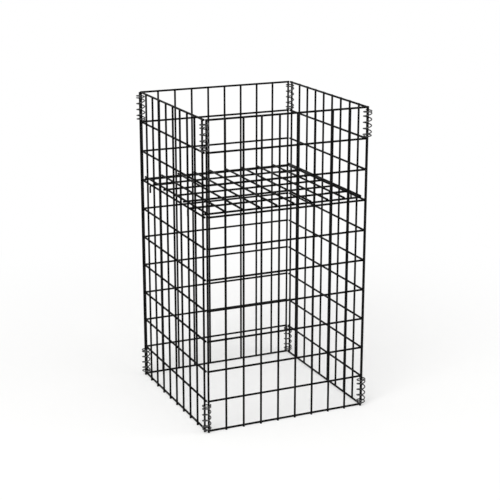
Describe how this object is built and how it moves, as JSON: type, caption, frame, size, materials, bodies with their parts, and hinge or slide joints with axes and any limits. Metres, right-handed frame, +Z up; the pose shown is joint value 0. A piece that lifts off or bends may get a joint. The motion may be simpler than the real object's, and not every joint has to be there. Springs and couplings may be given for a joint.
{
  "type": "retail dump bin",
  "caption": "Tall square wire dump bin with open top, welded grid panels laced at the corners by wire coils, and a wire shelf hung inside on hooks.",
  "frame": {"origin": "centre of the bin on the floor, under the feet of the upright wires", "axes": "+X to the right of the front panel, +Y to the back, +Z up"},
  "size_m": [0.4404, 0.4424, 0.7555],
  "materials": {
    "powder_coat": "semi-gloss black powder coat on steel wire",
    "spring_wire": "thin black coat on bright spring wire"
  },
  "bodies": {
    "cage": {"panel_front": "powder_coat", "panel_right": "powder_coat", "panel_back": "powder_coat", "panel_left": "powder_coat"},
    "shelf": {"shelf_grid": "powder_coat", "hook_left_front": "powder_coat", "hook_left_back": "powder_coat", "hook_right_front": "powder_coat", "hook_right_back": "powder_coat"},
    "coil_front_left_top": {"coil_front_left_top": "spring_wire"},
    "coil_front_left_bottom": {"coil_front_left_bottom": "spring_wire"},
    "coil_front_right_top": {"coil_front_right_top": "spring_wire"},
    "coil_front_right_bottom": {"coil_front_right_bottom": "spring_wire"},
    "coil_back_right_top": {"coil_back_right_top": "spring_wire"},
    "coil_back_right_bottom": {"coil_back_right_bottom": "spring_wire"},
    "coil_back_left_top": {"coil_back_left_top": "spring_wire"},
    "coil_back_left_bottom": {"coil_back_left_bottom": "spring_wire"}
  },
  "joints": [
    {"name": "shelf_lift", "type": "slide", "parent": "cage", "child": "shelf", "axis": [0, 0, 1], "range_m": [0, 0.059]},
    {"name": "coil_front_left_top_spin", "type": "hinge", "parent": "cage", "child": "coil_front_left_top", "pos_m": [-0.20805, -0.20915, 0.7138], "axis": [0, 0, 1], "continuous": true},
    {"name": "coil_front_left_bottom_spin", "type": "hinge", "parent": "cage", "child": "coil_front_left_bottom", "pos_m": [-0.20805, -0.20915, 0.0388], "axis": [0, 0, 1], "continuous": true},
    {"name": "coil_front_right_top_spin", "type": "hinge", "parent": "cage", "child": "coil_front_right_top", "pos_m": [0.20805, -0.20915, 0.7138], "axis": [0, 0, 1], "continuous": true},
    {"name": "coil_front_right_bottom_spin", "type": "hinge", "parent": "cage", "child": "coil_front_right_bottom", "pos_m": [0.20805, -0.20915, 0.0388], "axis": [0, 0, 1], "continuous": true},
    {"name": "coil_back_right_top_spin", "type": "hinge", "parent": "cage", "child": "coil_back_right_top", "pos_m": [0.20805, 0.20915, 0.7138], "axis": [0, 0, 1], "continuous": true},
    {"name": "coil_back_right_bottom_spin", "type": "hinge", "parent": "cage", "child": "coil_back_right_bottom", "pos_m": [0.20805, 0.20915, 0.0388], "axis": [0, 0, 1], "continuous": true},
    {"name": "coil_back_left_top_spin", "type": "hinge", "parent": "cage", "child": "coil_back_left_top", "pos_m": [-0.20805, 0.20915, 0.7138], "axis": [0, 0, 1], "continuous": true},
    {"name": "coil_back_left_bottom_spin", "type": "hinge", "parent": "cage", "child": "coil_back_left_bottom", "pos_m": [-0.20805, 0.20915, 0.0388], "axis": [0, 0, 1], "continuous": true}
  ]
}
